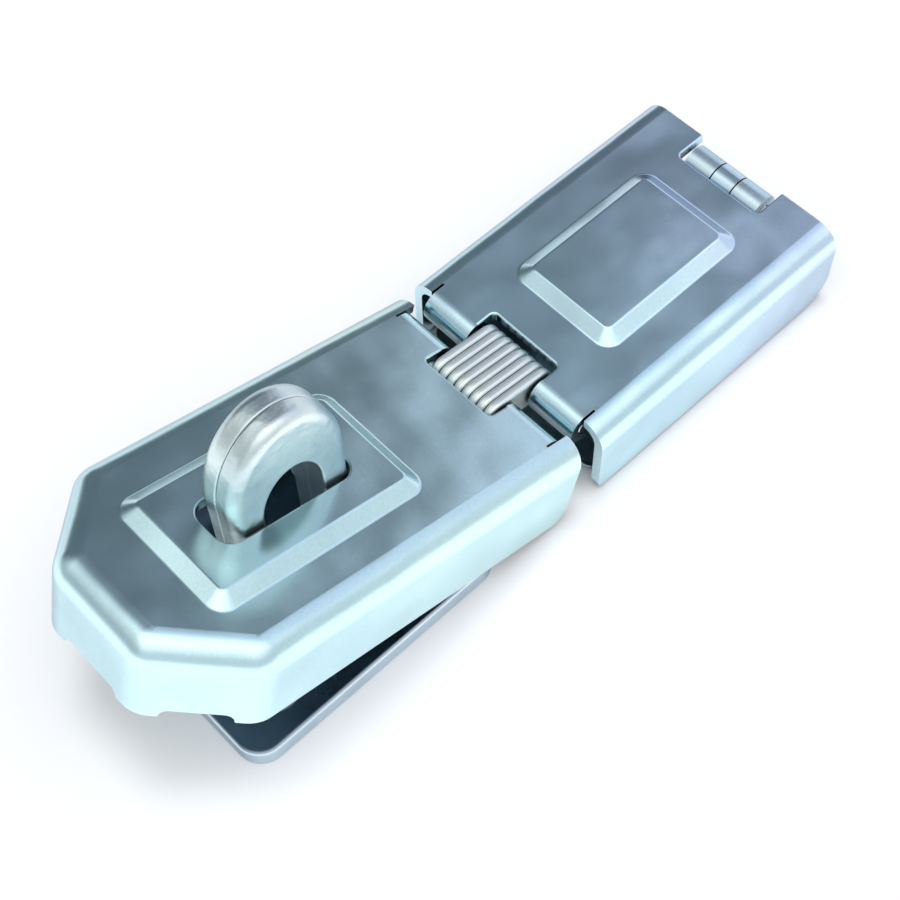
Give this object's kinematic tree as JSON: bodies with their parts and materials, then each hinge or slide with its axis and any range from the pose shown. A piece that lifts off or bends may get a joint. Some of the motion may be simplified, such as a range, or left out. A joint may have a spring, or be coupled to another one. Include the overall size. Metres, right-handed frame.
{
  "type": "flexible hasp",
  "caption": "Pressed-steel flexible hasp: tray leaf over a hidden hinge plate, laminated link, slotted leaf with chamfered tip, and an arched padlock staple on a base plate.",
  "frame": {"origin": "centre of the hinge base plate's four screw holes, on the mounting face", "axes": "+Z out of the mounting face, +X from the link to the base hinge, -X to the chamfered tip of the hasp leaf, +Y along the hinge pins"},
  "size_m": [0.1556, 0.0486, 0.056],
  "materials": {
    "leaf_steel": "bright blue zinc plate, glossy",
    "plate_steel": "bright zinc plate",
    "link_steel": "bright zinc plate, punched edges",
    "pin_steel": "plain bright",
    "staple_steel": "bright zinc plate, tumbled"
  },
  "bodies": {
    "base": {"hinge_base_plate": "plate_steel", "base_hinge_pin": "pin_steel"},
    "hinge_side": {"hinge_leaf": "leaf_steel", "link_pin_inner": "pin_steel"},
    "link": {"link_plate_1": "link_steel", "link_plate_2": "link_steel", "link_plate_3": "link_steel", "link_plate_4": "link_steel", "link_plate_5": "link_steel", "link_plate_6": "link_steel", "link_plate_7": "link_steel", "link_plate_8": "link_steel"},
    "hasp_side": {"hasp_leaf": "leaf_steel", "link_pin_outer": "pin_steel", "staple_plate_front": "staple_steel", "staple_plate_back": "staple_steel", "staple_base_plate": "plate_steel"}
  },
  "joints": [
    {"name": "leaf_hinge", "type": "hinge", "parent": "base", "child": "hinge_side", "pos_m": [0.02445, 0, 0.01445], "axis": [0, 1, 0], "range_deg": [0, 110]},
    {"name": "link_inner", "type": "hinge", "parent": "hinge_side", "child": "link", "pos_m": [-0.0346, 0, 0.01445], "axis": [0, 1, 0], "range_deg": [0, 70]},
    {"name": "link_outer", "type": "hinge", "parent": "link", "child": "hasp_side", "pos_m": [-0.04453, 0, 0.01567], "axis": [0, 1, 0], "range_deg": [0, 50]}
  ]
}
